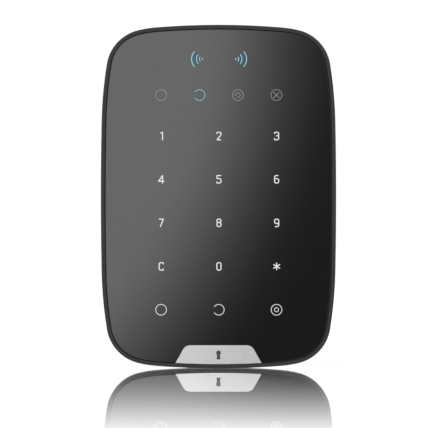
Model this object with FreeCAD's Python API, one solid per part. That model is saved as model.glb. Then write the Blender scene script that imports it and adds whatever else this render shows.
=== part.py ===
import FreeCAD, Part
import math
import os

# Wall-mounted wireless access keypad with a contactless card reader.
# Millimetres. X to the right seen from the front, Z up, Y towards the wall.
# The origin is on the wall plane, at the centre of the four wall-screw holes.

# ---- driving dimensions ----
HALF_WIDTH = 56.5
HALF_HEIGHT = 82.5
DEPTH = 20.0

# The outline is a chain of tangent arcs. Each quadrant runs from the middle of the
# long side to the middle of the short side.
SIDE_R = 1620.0
SIDE_SHOULDER_R = 198.0
CORNER_R = 20.0
END_SHOULDER_R = 56.0
NORMAL_BREAKS = (1.2, 9.2, 76.5, 85.3)   # degrees, where one arc hands over to the next

# layers, as Y of their faces, from the wall outwards
WALL = 0.0
BRACKET_FRONT = -2.0
REAR_FACE = -2.3
REAR_INNER = -3.6
REAR_RIM = -7.6
HOUSING_RIM = -8.0
BOARD_BACK = -17.15
BOARD_FRONT = -17.95
FILM_BACK = -18.1
PANEL_BACK = -18.35
PANEL_FRONT = -19.85
FRONT = -DEPTH

PANEL_INSET = 2.05
PANEL_POCKET_INSET = 1.85
WALL_INSET = 1.8
LEDGE_INSET = 4.4
LEDGE_FRONT = -18.2
LEDGE_BACK = -17.1
BOARD_INSET = 4.7
REAR_INSET = 0.4
REAR_EDGE_R = 3.4
BRACKET_INSET = 6.0

# how far the keypad slides up its bracket to come off
RELEASE_TRAVEL = 10.0

# case screws, on bosses
BOSS_R = 3.2
BOSS_FROM_EDGE = 7.0
SCREW_R = 1.2
SCREW_PILOT_R = 1.25
SCREW_CLEAR_R = 1.4
SCREW_HEAD_R = 2.2
SCREW_SEAT = -4.6

# wall-screw holes in the bracket
WALL_HOLE_X = 42.5
WALL_HOLE_Z = 60.0
WALL_HOLE_R = 2.1
WALL_SINK_R = 3.8

# bracket hooks and the slots they engage
HOOK_X = 41.0
HOOK_LEVELS = (-28.0, 38.0)
HOOK_WIDTH = 8.0
HOOK_STEM = 1.8
HOOK_LIP = 8.0
HOOK_LIP_BACK = -4.0
HOOK_LIP_FRONT = -5.4
HOOK_GAP = 0.3

# bracket window behind the battery door and the power button
WINDOW_HALF_WIDTH = 35.0
WINDOW_BOTTOM = -70.0
WINDOW_TOP = 11.0

# four AA cells side by side, upright
CELL_R = 7.0
CELL_LENGTH = 50.5
CELL_PITCH = 15.0
CELL_Y = -9.75
CELL_BOTTOM = -66.2
CELL_CENTRES = [(i - 1.5) * CELL_PITCH for i in range(4)]
TRAY_HALF_WIDTH = 30.2
TRAY_BOTTOM = -68.4
TRAY_TOP = -13.6
TRAY_WALL = 1.1
TRAY_FLOOR_FRONT = -16.9
TRAY_FLOOR_BACK = -16.1

# battery door, hinged along its top edge
DOOR_HALF_WIDTH = 28.6
DOOR_BOTTOM = -67.0
DOOR_FRONT = -2.5
DOOR_BACK = -1.5
DOOR_AXIS_Y = -2.8
DOOR_AXIS_Z = -13.6
DOOR_BARREL_R = 1.3
DOOR_PIN_R = 0.8
DOOR_PIN_LENGTH = 2.0
DOOR_GAP = 0.4

# power button
BUTTON_X = 22.0
BUTTON_Z = -4.0
BUTTON_R = 3.5
BUTTON_TRAVEL = 0.6

# tamper plunger and the ramp that drives it
TAMPER_X = 0.0
TAMPER_Z = 34.0
TAMPER_R = 1.5
TAMPER_RATIO = 0.12
RAMP_LEAD = 2.2
TAB_HALF_WIDTH = 12.0
TAB_BOTTOM = 26.0
TAB_TOP = 62.0
TAB_HOLE_Z = 56.0

# lock screw under the bottom edge
LOCK_Y = -4.4
LOCK_R = 1.25
LOCK_HEAD_R = 2.1
LOCK_WASHER_R = 2.3
LOCK_INSERT_R = 1.9
TONGUE_HALF_WIDTH = 7.5
TONGUE_BOTTOM = -82.2
TONGUE_TOP = -79.0
TONGUE_FRONT = -7.3
LOCK_SEAT = -80.0
LOCK_BLOCK_TOP = -70.2
NOTCH_HALF_WIDTH = 8.0
NOTCH_TOP = -78.6

# keys: three columns by five rows, and a row of four status icons
KEY_COLUMNS = (-27.7, 0.0, 27.7)
KEY_ROWS = (29.05, 8.3, -12.6, -33.5, -54.3)
STATUS_COLUMNS = (-27.7, -9.2, 9.2, 27.7)
STATUS_ROW = 48.9

# card reader antenna behind the top of the panel
READER_BOTTOM = 55.0
BOARD_TOP = 53.5
READER_TURNS = 5
READER_PITCH = 0.9
READER_TRACK = 0.4

# emblem plate at the foot of the panel
EMBLEM_TOP = -71.35
EMBLEM_BASE_HALF = 20.75
EMBLEM_BASE = -80.0
EMBLEM_SLOPE = 60.7
EMBLEM_CORNER_R = 4.0
EMBLEM_INSET = 2.05
EMBLEM_FRONT = -19.95
EMBLEM_SEAT = -19.5
KEYHOLE_DEPTH = 0.18
KEYHOLE_Z = -75.9


# ---- helpers ----
def vec(x, y, z):
    return FreeCAD.Vector(x, y, z)


def block(x0, x1, y0, y1, z0, z1):
    return Part.makeBox(x1 - x0, y1 - y0, z1 - z0, vec(x0, y0, z0))


def post(radius, y0, y1, x, z):
    """A cylinder along Y."""
    return Part.makeCylinder(radius, y1 - y0, vec(x, y0, z), vec(0, 1, 0))


def upright(radius, z0, z1, x, y):
    """A cylinder along Z."""
    return Part.makeCylinder(radius, z1 - z0, vec(x, y, z0), vec(0, 0, 1))


def cross_bar(radius, x0, x1, y, z):
    """A cylinder along X."""
    return Part.makeCylinder(radius, x1 - x0, vec(x0, y, z), vec(1, 0, 0))


def soft_block(x0, x1, y0, y1, z0, z1, radius):
    """A plate with rounded corners, seen along Y."""
    box = block(x0, x1, y0, y1, z0, z1)
    corners = [e for e in box.Edges if abs(e.tangentAt(e.FirstParameter).y) > 0.9]
    return box.makeFillet(radius, corners)


def merge(shapes):
    joined = shapes[0].multiFuse(shapes[1:])
    return joined.removeSplitter()


def angle_vec(angle):
    return vec(math.cos(angle), 0, math.sin(angle))


def outline_arcs():
    """Centres, radii and end angles of the tangent arcs in the first quadrant."""
    breaks = [math.radians(a) for a in NORMAL_BREAKS]
    radii = [SIDE_R, SIDE_SHOULDER_R, CORNER_R, END_SHOULDER_R]
    centres = [vec(HALF_WIDTH - SIDE_R, 0, 0)]
    for i in range(3):
        centres.append(centres[i] + angle_vec(breaks[i]) * (radii[i] - radii[i + 1]))
    end_r = END_SHOULDER_R + centres[3].x / math.cos(breaks[3])
    centres.append(centres[3] + angle_vec(breaks[3]) * (END_SHOULDER_R - end_r))
    radii.append(end_r)
    lift = vec(0, 0, HALF_HEIGHT - end_r - centres[4].z)
    ends = [0.0] + breaks + [math.pi / 2]
    return [(c + lift, r, ends[i], ends[i + 1]) for i, (c, r) in enumerate(zip(centres, radii))]


ARCS = outline_arcs()
CORNER_CENTRE = ARCS[2][0]


def outline(inset, y):
    """The device's outline, moved inwards by inset, as a closed wire at y."""
    edges = []
    flat = ARCS[0][0].z
    for sx in (1, -1):
        edges.append(Part.makeLine(vec(sx * (HALF_WIDTH - inset), y, -flat),
                                   vec(sx * (HALF_WIDTH - inset), y, flat)))
        for sz in (1, -1):
            for centre, radius, start, end in ARCS:
                points = []
                for angle in (start, (start + end) / 2, end):
                    p = centre + angle_vec(angle) * (radius - inset)
                    points.append(vec(sx * p.x, y, sz * p.z))
                edges.append(Part.Arc(*points).toShape())
    return Part.Wire(Part.sortEdges(edges)[0])


def slab(inset, y0, y1):
    """The outline moved inwards by inset, as a plate from y0 to y1."""
    return Part.Face(outline(inset, y0)).extrude(vec(0, y1 - y0, 0))


def edges_at(shape, y):
    """The edges that lie at one y."""
    boxes = [(e, e.BoundBox) for e in shape.Edges]
    return [e for e, b in boxes if abs(b.YMin - y) < 1e-4 and abs(b.YMax - y) < 1e-4]


def coil(radius, wire, turns, length, end_radius=None):
    """A helical spring standing on the XY plane: ten-sided wire, sixteen runs to a turn."""
    end_radius = radius if end_radius is None else end_radius
    steps = int(turns * 16)
    pitch_angle = math.atan2(length, turns * 2 * math.pi * radius)
    rings = []
    for i in range(steps + 1):
        share = i / steps
        turn = 2 * math.pi * turns * share
        reach = radius + (end_radius - radius) * share
        out = vec(math.cos(turn), math.sin(turn), 0)
        round_axis = vec(-math.sin(turn), math.cos(turn), 0)
        up = vec(0, 0, math.cos(pitch_angle)) - round_axis * math.sin(pitch_angle)
        centre = out * reach + vec(0, 0, length * share)
        corners = []
        for k in range(10):
            angle = 2 * math.pi * k / 10
            corners.append(centre + out * (wire / 2 * math.cos(angle)) + up * (wire / 2 * math.sin(angle)))
        rings.append(Part.makePolygon(corners + corners[:1]))
    return Part.makeLoft(rings, True, True)


def place(shape, position, axis=None, angle=0.0):
    out = shape.copy()
    if axis is not None:
        out.rotate(vec(0, 0, 0), axis, angle)
    out.translate(position)
    return out


def tube(points, radius, bend):
    """A round wire: straight runs joined by arcs of one bend radius."""
    edges = []
    start = points[0]
    for before, corner, after in zip(points, points[1:], points[2:]):
        come = (corner - before).normalize()
        leave = (after - corner).normalize()
        half_turn = come.getAngle(leave) / 2
        back = bend * math.tan(half_turn)
        first = corner - come * back
        last = corner + leave * back
        inward = (leave - come).normalize()
        middle = corner + inward * (bend / math.cos(half_turn) - bend)
        edges.append(Part.makeLine(start, first))
        edges.append(Part.Arc(first, middle, last).toShape())
        start = last
    edges.append(Part.makeLine(start, points[-1]))
    path = Part.Wire(edges)
    ring = Part.Wire(Part.makeCircle(radius, points[0], points[1] - points[0]))
    return path.makePipeShell([ring], True, False)


def boss_places():
    """The six case screws: four near the corners, two at the middle of the long sides."""
    reach = (CORNER_R - BOSS_FROM_EDGE) * math.sqrt(0.5)
    x = CORNER_CENTRE.x + reach
    z = CORNER_CENTRE.z + reach
    places = [(sx * x, sz * z) for sx in (-1, 1) for sz in (-1, 1)]
    return places + [(sx * (HALF_WIDTH - BOSS_FROM_EDGE), 0.0) for sx in (-1, 1)]


BOSSES = boss_places()


# ---- front housing, panel and printed layers ----
def front_housing():
    shell = slab(0, FRONT, HOUSING_RIM)
    shell = shell.makeFillet(0.8, edges_at(shell, FRONT))
    pocket = slab(PANEL_POCKET_INSET, FRONT - 1, LEDGE_FRONT)
    throat = slab(LEDGE_INSET, LEDGE_FRONT - 1, LEDGE_BACK + 1)
    cavity = slab(WALL_INSET, LEDGE_BACK, HOUSING_RIM + 1)
    shell = shell.cut(pocket).cut(throat).cut(cavity)
    parts = [shell]
    inside = slab(WALL_INSET - 0.4, LEDGE_FRONT, HOUSING_RIM)
    for x, z in BOSSES:
        outwards = vec(x, 0, z) if z else vec(x, 0, 0)
        outwards.normalize()
        rib = Part.makeBox(BOSS_FROM_EDGE, HOUSING_RIM - LEDGE_FRONT - 1.0, 1.6, vec(0, LEDGE_FRONT, -0.8))
        rib.rotate(vec(0, 0, 0), vec(0, 1, 0), -math.degrees(math.atan2(outwards.z, outwards.x)))
        rib.translate(vec(x, 0, z))
        parts.append(rib.common(inside))
        parts.append(post(BOSS_R, LEDGE_FRONT, HOUSING_RIM, x, z))
    shell = merge(parts)
    for x, z in BOSSES:
        shell = shell.cut(post(SCREW_PILOT_R, HOUSING_RIM - 7.0, HOUSING_RIM + 1, x, z))
    return shell


def emblem_profile(grow, y):
    """The emblem's outline at y, as a face, before its foot follows the panel's edge."""
    slope = math.radians(EMBLEM_SLOPE)
    side = grow / math.sin(slope)
    foot = EMBLEM_BASE_HALF + side + 5.0 / math.tan(slope)
    top = EMBLEM_TOP + grow
    low = EMBLEM_BASE - 5.0
    head = foot - (top - low) / math.tan(slope)
    corners = [vec(-foot, y, low), vec(foot, y, low), vec(head, y, top), vec(-head, y, top)]
    return Part.Face(Part.makePolygon(corners + corners[:1]))


def emblem_body(grow, y0, y1, inset):
    plate = emblem_profile(grow, y0).extrude(vec(0, y1 - y0, 0))
    upper = [e for e in plate.Edges
             if abs(e.tangentAt(e.FirstParameter).y) > 0.9 and e.BoundBox.ZMin > EMBLEM_TOP - 2]
    plate = plate.makeFillet(EMBLEM_CORNER_R + grow, upper)
    return plate.common(slab(inset, y0 - 0.5, y1 + 0.5))


def keyhole(y0, y1, z):
    """A plain keyhole sign: a round eye over a flared slot."""
    eye = post(1.15, y0, y1, 0, z + 0.9)
    corners = [vec(-0.5, y0, z + 0.9), vec(0.5, y0, z + 0.9), vec(1.0, y0, z - 2.2), vec(-1.0, y0, z - 2.2)]
    slot = Part.Face(Part.makePolygon(corners + corners[:1])).extrude(vec(0, y1 - y0, 0))
    return merge([eye, slot])


def touch_panel():
    panel = slab(PANEL_INSET, PANEL_FRONT, PANEL_BACK)
    panel = panel.makeFillet(0.35, edges_at(panel, PANEL_FRONT))
    return panel.cut(emblem_body(0.12, PANEL_FRONT - 1, EMBLEM_SEAT, EMBLEM_INSET - 0.12))


def emblem_plate():
    plate = emblem_body(0.0, EMBLEM_FRONT, EMBLEM_SEAT, EMBLEM_INSET)
    plate = plate.makeChamfer(0.08, edges_at(plate, EMBLEM_FRONT))
    return plate.cut(keyhole(EMBLEM_FRONT - 1, EMBLEM_FRONT + KEYHOLE_DEPTH, KEYHOLE_Z))


def panel_adhesive():
    ring = slab(PANEL_INSET + 0.25, PANEL_BACK, LEDGE_FRONT)
    return ring.cut(slab(LEDGE_INSET - 0.2, PANEL_BACK - 1, LEDGE_FRONT + 1))


def boss_clearance(y0, y1):
    return [post(BOSS_R + 0.4, y0, y1, x, z) for x, z in BOSSES]


def legend_film():
    film = slab(BOARD_INSET, PANEL_BACK, FILM_BACK)
    return film.cut(boss_clearance(PANEL_BACK - 1, FILM_BACK + 1))


# ---- boards and what they carry ----
def light_places():
    places = [(x, z) for z in KEY_ROWS for x in KEY_COLUMNS]
    return places + [(x, STATUS_ROW) for x in STATUS_COLUMNS]


LIGHTS = light_places()


def board_slab(z0, z1, y0, y1):
    blank = slab(BOARD_INSET, y0, y1).common(block(-HALF_WIDTH, HALF_WIDTH, y0, y1, z0, z1))
    return blank.cut(boss_clearance(y0 - 1, y1 + 1))


def main_board():
    board = board_slab(-HALF_HEIGHT, BOARD_TOP, BOARD_FRONT, BOARD_BACK)
    return board.cut([post(0.9, BOARD_FRONT - 1, BOARD_BACK + 1, x, z) for x, z in LIGHTS])


def touch_pads():
    """Copper sensing pads on the front of the board, one round each key's light."""
    pads = []
    for z in KEY_ROWS:
        for x in KEY_COLUMNS:
            pad = soft_block(x - 8, x + 8, BOARD_FRONT - 0.06, BOARD_FRONT, z - 7, z + 7, 2.0)
            pads.append(pad.cut(post(3.6, BOARD_FRONT - 1, BOARD_FRONT + 1, x, z)))
    return Part.makeCompound(pads)


def key_lights():
    """Reverse-mounted lights: the dome points through the board at the film."""
    lights = []
    for x, z in LIGHTS:
        base = block(x - 1.6, x + 1.6, BOARD_BACK, BOARD_BACK + 0.5, z - 0.7, z + 0.7)
        lights.append(merge([base, post(0.6, BOARD_BACK - 0.6, BOARD_BACK, x, z)]))
    return Part.makeCompound(lights)


def reader_board():
    return board_slab(READER_BOTTOM, HALF_HEIGHT, BOARD_FRONT, BOARD_BACK)


def reader_coil():
    """Concentric copper loops on the front of the reader board."""
    loops = []
    for turn in range(READER_TURNS):
        half = 38.0 - turn * READER_PITCH
        low = READER_BOTTOM + 1.6 + turn * READER_PITCH
        high = 75.4 - turn * READER_PITCH
        radius = 5.0 - turn * 0.6
        outer = soft_block(-half, half, BOARD_FRONT - 0.07, BOARD_FRONT, low, high, radius)
        inner = soft_block(-half + READER_TRACK, half - READER_TRACK, BOARD_FRONT - 1, BOARD_FRONT + 1,
                           low + READER_TRACK, high - READER_TRACK, radius - READER_TRACK)
        loops.append(outer.cut(inner))
    return Part.makeCompound(loops)


def ferrite_sheet():
    return soft_block(-35, 13, BOARD_BACK, BOARD_BACK + 0.3, READER_BOTTOM + 2, 75.0, 3.0)


def reader_flex_connectors():
    low = block(14, 24, BOARD_BACK, BOARD_BACK + 1.2, 45.5, 48.5)
    high = block(14, 24, BOARD_BACK, BOARD_BACK + 1.2, 58.5, 61.5)
    return Part.makeCompound([low, high])


def reader_flex():
    """A flat flexible strip that arches from one connector to the other."""
    level = BOARD_BACK + 0.6
    corners = [(48.5, level), (50.0, level), (51.5, level + 1.2),
               (55.5, level + 1.2), (57.0, level), (58.5, level)]
    upper = [vec(15, y + 0.15, z) for z, y in corners]
    lower = [vec(15, y - 0.15, z) for z, y in reversed(corners)]
    return Part.Face(Part.makePolygon(upper + lower + upper[:1])).extrude(vec(8, 0, 0))


def radio_shield():
    can = soft_block(-42, -14, BOARD_BACK, BOARD_BACK + 3.0, 10.5, 27, 1.0)
    can = can.cut(soft_block(-41.7, -14.3, BOARD_BACK - 1, BOARD_BACK + 2.7, 10.8, 26.7, 0.7))
    vents = [post(0.6, BOARD_BACK, BOARD_BACK + 4, -38 + 4 * i, 14 + 4 * k)
             for i in range(6) for k in range(3)]
    return can.cut(vents)


def chip(x, z, width, height, thick):
    body = block(x - width / 2, x + width / 2, BOARD_BACK + 0.1, BOARD_BACK + thick,
                 z - height / 2, z + height / 2)
    body = body.makeChamfer(0.12, edges_at(body, BOARD_BACK + thick))
    legs = []
    count = int(width / 0.8) - 1
    for i in range(count):
        at = x + (i - (count - 1) / 2) * 0.8
        legs.append(block(at - 0.2, at + 0.2, BOARD_BACK, BOARD_BACK + 0.25,
                          z - height / 2 - 0.6, z + height / 2 + 0.6))
    return merge([body] + legs)


def chips():
    """Radio, controller, card-reader, memory and supply chips: x, z, width, height."""
    layout = ((-28, 18, 7, 7), (11, 21, 8, 8), (31, 38, 5, 5), (8, 7, 5, 4), (-38, 37, 4, 3), (-14, 46, 5, 4))
    return Part.makeCompound([chip(x, z, w, h, 1.0) for x, z, w, h in layout])


def crystals():
    places = ((-20, 14), (19, 14), (38, 33))
    return Part.makeCompound([soft_block(x - 1.6, x + 1.6, BOARD_BACK, BOARD_BACK + 0.8,
                                         z - 1.25, z + 1.25, 0.4)
                              for x, z in places])


def small_capacitors():
    rows = [(-8 + 3.2 * i, 14.5) for i in range(4)] + [(3 + 3.2 * i, 30) for i in range(6)]
    rows += [(-42 + 3.2 * i, 42) for i in range(4)] + [(24, 8 + 3 * i) for i in range(3)]
    return Part.makeCompound([block(x - 0.8, x + 0.8, BOARD_BACK, BOARD_BACK + 0.8, z - 0.4, z + 0.4)
                              for x, z in rows])


def storage_capacitors():
    cans = []
    for z in (20.0, 28.5):
        can = post(3.15, BOARD_BACK, BOARD_BACK + 7.7, 40, z)
        cans.append(can.makeFillet(0.5, edges_at(can, BOARD_BACK + 7.7)))
    return Part.makeCompound(cans)


def buzzer():
    body = post(6.5, BOARD_BACK, BOARD_BACK + 5.0, 37, 6)
    body = body.makeFillet(0.5, edges_at(body, BOARD_BACK + 5.0))
    return body.cut(post(1.2, BOARD_BACK + 3, BOARD_BACK + 6, 37, 6))


def radio_antenna():
    """A folded strip on three legs along the upper left edge of the board."""
    strip = block(-49.0, -45.0, BOARD_BACK + 5.7, BOARD_BACK + 6.0, 14, 50)
    legs = [block(-49.0, -48.7, BOARD_BACK, BOARD_BACK + 5.8, z, z + 1.5) for z in (14, 20, 48.5)]
    return merge([strip] + legs)


def tact_switch(x, z):
    body = block(x - 3, x + 3, BOARD_BACK, BOARD_BACK + 3.5, z - 3, z + 3)
    stem = post(1.6, BOARD_BACK + 3.5, BOARD_BACK + 3.9, x, z)
    legs = [block(x + s * 3.4 - 0.4, x + s * 3.4 + 0.4, BOARD_BACK, BOARD_BACK + 0.4,
                  z + t - 0.35, z + t + 0.35)
            for s in (-1, 1) for t in (-2.2, 2.2)]
    return merge([body, stem] + legs)


# ---- power supply ----
def battery_tray():
    outer = block(-TRAY_HALF_WIDTH - TRAY_WALL, TRAY_HALF_WIDTH + TRAY_WALL, TRAY_FLOOR_FRONT, REAR_INNER,
                  TRAY_BOTTOM - TRAY_WALL, TRAY_TOP + TRAY_WALL)
    inner = block(-TRAY_HALF_WIDTH, TRAY_HALF_WIDTH, TRAY_FLOOR_BACK, REAR_INNER + 1, TRAY_BOTTOM, TRAY_TOP)
    tray = outer.cut(inner)
    ridges = []
    for i in range(3):
        x = (i - 1) * CELL_PITCH
        low = TRAY_FLOOR_BACK - 0.2
        corners = [vec(x - 2.2, low, TRAY_BOTTOM + 3), vec(x + 2.2, low, TRAY_BOTTOM + 3),
                   vec(x, low + 3.4, TRAY_BOTTOM + 3)]
        ridge = Part.Face(Part.makePolygon(corners + corners[:1]))
        ridges.append(ridge.extrude(vec(0, 0, TRAY_TOP - TRAY_BOTTOM - 6)))
    tray = merge([tray] + ridges)
    beds = [upright(CELL_R + 0.15, CELL_BOTTOM - 0.6, CELL_BOTTOM + CELL_LENGTH + 0.6, x, CELL_Y)
            for x in CELL_CENTRES]
    windows = [block(x - 2.1, x + 2.1, TRAY_FLOOR_FRONT - 1, TRAY_FLOOR_BACK + 4, z - 1.2, z + 1.2)
               for x, z in LIGHTS if z < TRAY_TOP + 2]
    hinge_room = block(-TRAY_HALF_WIDTH - 3, TRAY_HALF_WIDTH + 3, DOOR_AXIS_Y - 2.2, REAR_INNER + 1,
                       DOOR_AXIS_Z - 2.6, TRAY_TOP + 3)
    return tray.cut(beds + windows + [hinge_room])


def battery_cell(index):
    """An AA cell; its button is up on cells 1 and 3 and down on cells 2 and 4."""
    can = Part.makeCylinder(CELL_R, CELL_LENGTH - 1.4)
    can = can.makeFillet(0.5, [e for e in can.Edges if e.Curve.TypeId == "Part::GeomCircle"])
    button = Part.makeCylinder(2.7, 1.5, vec(0, 0, CELL_LENGTH - 1.5))
    button = button.makeFillet(0.3, [e for e in button.Edges if e.BoundBox.ZMin > CELL_LENGTH - 0.01])
    cell = merge([can, button])
    x = CELL_CENTRES[index]
    if index % 2 == 0:
        return place(cell, vec(x, CELL_Y, CELL_BOTTOM))
    return place(cell, vec(x, CELL_Y, CELL_BOTTOM + CELL_LENGTH), vec(1, 0, 0), 180)


def contact_plates():
    """Nickel strips on the tray's end walls: one or two cells wide."""
    thick = 0.4
    spans = [(0, 0, True), (1, 2, True), (3, 3, True), (0, 1, False), (2, 3, False)]
    plates = []
    for first, last, at_top in spans:
        z0 = TRAY_TOP - thick if at_top else TRAY_BOTTOM
        x0 = CELL_CENTRES[first] - 5.0
        x1 = CELL_CENTRES[last] + 5.0
        plate = block(x0, x1, CELL_Y - 5, CELL_Y + 5, z0, z0 + thick)
        corners = [e for e in plate.Edges if abs(e.tangentAt(e.FirstParameter).z) > 0.9]
        plates.append(plate.makeFillet(1.5, corners))
    return Part.makeCompound(plates)


def contact_springs():
    """A conical spring at each cell's flat end."""
    springs = []
    for i, x in enumerate(CELL_CENTRES):
        if i % 2 == 0:
            length = CELL_BOTTOM - TRAY_BOTTOM - 0.4 - 0.7
            cone = coil(3.8, 0.5, 2.5, length, 2.2)
            springs.append(place(cone, vec(x, CELL_Y, TRAY_BOTTOM + 0.4 + 0.35)))
        else:
            length = TRAY_TOP - CELL_BOTTOM - CELL_LENGTH - 0.4 - 0.7
            cone = coil(3.8, 0.5, 2.5, length, 2.2)
            springs.append(place(cone, vec(x, CELL_Y, TRAY_TOP - 0.4 - 0.35), vec(1, 0, 0), 180))
    return Part.makeCompound(springs)


def battery_leads():
    """Two short wires from the tray's upper wall to the board's supply socket."""
    leads = []
    for x, side in ((-9.0, -1), (-5.0, 1)):
        top = TRAY_TOP + TRAY_WALL
        points = [vec(x, -10.0, top), vec(x, -10.0, top + 4.0), vec(-7.0 + side, -13.4, top + 7.0),
                  vec(-7.0 + side, BOARD_BACK + 2.9, top + 7.0)]
        leads.append(tube(points, 0.45, 0.9))
    return Part.makeCompound(leads)


def supply_socket():
    z = TRAY_TOP + TRAY_WALL + 7.0
    return soft_block(-10, -4, BOARD_BACK, BOARD_BACK + 2.9, z - 2.2, z + 2.2, 0.5)


# ---- rear cover ----
def hook_slots(y0, y1):
    slots = []
    half = HOOK_WIDTH / 2 + HOOK_GAP
    for x in (-HOOK_X, HOOK_X):
        for z in HOOK_LEVELS:
            low = z - HOOK_STEM - RELEASE_TRAVEL - HOOK_GAP
            slots.append(soft_block(x - half, x + half, y0, y1, low, z + HOOK_GAP, 0.6))
    return slots


def door_opening():
    half = DOOR_HALF_WIDTH + DOOR_GAP
    top = DOOR_AXIS_Z + DOOR_BARREL_R + DOOR_GAP
    return soft_block(-half, half, REAR_INNER - 1, WALL, DOOR_BOTTOM - DOOR_GAP, top, 0.5)


def door_knuckles():
    """Two ears inside the cover that take the door's hinge pins."""
    ears = []
    for side in (-1, 1):
        near = side * (DOOR_HALF_WIDTH + DOOR_GAP)
        far = side * (DOOR_HALF_WIDTH + DOOR_PIN_LENGTH + 1.2)
        ears.append(block(min(near, far), max(near, far), DOOR_AXIS_Y - 1.8, REAR_FACE,
                          DOOR_AXIS_Z - 2.2, DOOR_AXIS_Z + 2.2))
    return ears


def rear_cover():
    shell = slab(REAR_INSET, REAR_RIM, REAR_FACE)
    shell = shell.makeFillet(REAR_EDGE_R, edges_at(shell, REAR_FACE))
    shell = shell.cut(slab(REAR_INSET + 1.6, REAR_RIM - 1, REAR_INNER))
    lip = slab(WALL_INSET + 0.3, REAR_RIM - 1.4, REAR_RIM + 1.5)
    lip = lip.cut(slab(WALL_INSET + 1.5, REAR_RIM - 3, REAR_RIM + 3))
    lip = lip.cut([post(BOSS_R + 0.4, REAR_RIM - 3, HOUSING_RIM, x, z) for x, z in BOSSES])
    lip = lip.cut([block(min(x, 1.4 * x), max(x, 1.4 * x), REAR_RIM - 3, REAR_RIM, -1.3, 1.3)
                   for x, z in BOSSES if z == 0])
    posts = [post(BOSS_R, HOUSING_RIM, REAR_INNER + 0.3, x, z) for x, z in BOSSES]
    lock_block = block(-NOTCH_HALF_WIDTH - 1.6, NOTCH_HALF_WIDTH + 1.6, REAR_RIM, REAR_INNER + 0.3,
                       -HALF_HEIGHT + 1.5, LOCK_BLOCK_TOP)
    shell = merge([shell, lip, lock_block] + posts)
    shell = shell.cut(door_opening())
    shell = merge([shell] + door_knuckles())
    cuts = hook_slots(REAR_INNER - 1, REAR_FACE + 1)
    for x, z in BOSSES:
        cuts.append(post(SCREW_CLEAR_R, HOUSING_RIM - 1, REAR_FACE + 1, x, z))
        cuts.append(post(SCREW_HEAD_R + 0.2, SCREW_SEAT, REAR_FACE + 1, x, z))
    cuts.append(block(-NOTCH_HALF_WIDTH, NOTCH_HALF_WIDTH, REAR_RIM - 0.1, WALL, -HALF_HEIGHT - 1, NOTCH_TOP))
    cuts.append(upright(LOCK_INSERT_R, NOTCH_TOP - 1, NOTCH_TOP + 5.4, 0, LOCK_Y))
    cuts.append(upright(LOCK_R + 0.2, NOTCH_TOP, LOCK_BLOCK_TOP - 1.0, 0, LOCK_Y))
    pin_reach = DOOR_HALF_WIDTH + DOOR_PIN_LENGTH + 0.3
    cuts.append(cross_bar(DOOR_PIN_R + 0.04, -pin_reach, pin_reach, DOOR_AXIS_Y, DOOR_AXIS_Z))
    cuts.append(post(BUTTON_R + 0.05, REAR_INNER - 1, WALL, BUTTON_X, BUTTON_Z))
    cuts.append(post(TAMPER_R + 0.05, REAR_INNER - 1, WALL, TAMPER_X, TAMPER_Z))
    return shell.cut(cuts)


def rating_label():
    return soft_block(-27, 9, REAR_FACE, REAR_FACE + 0.1, -8.5, 3.5, 1.0)


def lock_insert():
    sleeve = upright(LOCK_INSERT_R, NOTCH_TOP + 0.2, NOTCH_TOP + 5.4, 0, LOCK_Y)
    return sleeve.cut(upright(LOCK_R + 0.05, NOTCH_TOP - 1, NOTCH_TOP + 6, 0, LOCK_Y))


def case_screws():
    screws = []
    for x, z in BOSSES:
        head = post(SCREW_HEAD_R, SCREW_SEAT, SCREW_SEAT + 1.6, x, z)
        head = head.makeFillet(0.4, edges_at(head, SCREW_SEAT + 1.6))
        shank = post(SCREW_R, HOUSING_RIM - 5.5, SCREW_SEAT, x, z)
        screw = merge([head, shank])
        top = SCREW_SEAT + 0.8
        cross = [block(x - 1.2, x + 1.2, top, top + 2, z - 0.25, z + 0.25),
                 block(x - 0.25, x + 0.25, top, top + 2, z - 1.2, z + 1.2)]
        screws.append(screw.cut(cross))
    return Part.makeCompound(screws)


# ---- moving pieces on the rear ----
def battery_door():
    plate = soft_block(-DOOR_HALF_WIDTH, DOOR_HALF_WIDTH, DOOR_FRONT, DOOR_BACK,
                       DOOR_BOTTOM, DOOR_AXIS_Z, 0.8)
    barrel = cross_bar(DOOR_BARREL_R, -DOOR_HALF_WIDTH, DOOR_HALF_WIDTH, DOOR_AXIS_Y, DOOR_AXIS_Z)
    reach = DOOR_HALF_WIDTH + DOOR_PIN_LENGTH
    pins = cross_bar(DOOR_PIN_R, -reach, reach, DOOR_AXIS_Y, DOOR_AXIS_Z)
    door = merge([plate, barrel, pins])
    scoop = Part.makeSphere(9.0, vec(0, DOOR_BACK + 8.5, DOOR_BOTTOM + 1.0))
    grips = [block(-7, 7, DOOR_BACK - 0.3, DOOR_BACK + 1,
                   DOOR_BOTTOM + 6 + 1.6 * i, DOOR_BOTTOM + 6.8 + 1.6 * i)
             for i in range(4)]
    return door.cut([scoop] + grips)


def power_button():
    cap = post(BUTTON_R, REAR_FACE - 2.4, REAR_FACE - 0.2, BUTTON_X, BUTTON_Z)
    cap = cap.makeFillet(0.3, edges_at(cap, REAR_FACE - 0.2))
    flange = post(BUTTON_R + 1.1, REAR_FACE - 2.9, REAR_INNER - 0.3, BUTTON_X, BUTTON_Z)
    stem = post(1.25, BOARD_BACK + 3.9 + BUTTON_TRAVEL + 0.1, REAR_FACE - 2.5, BUTTON_X, BUTTON_Z)
    return merge([cap, flange, stem])


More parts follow.
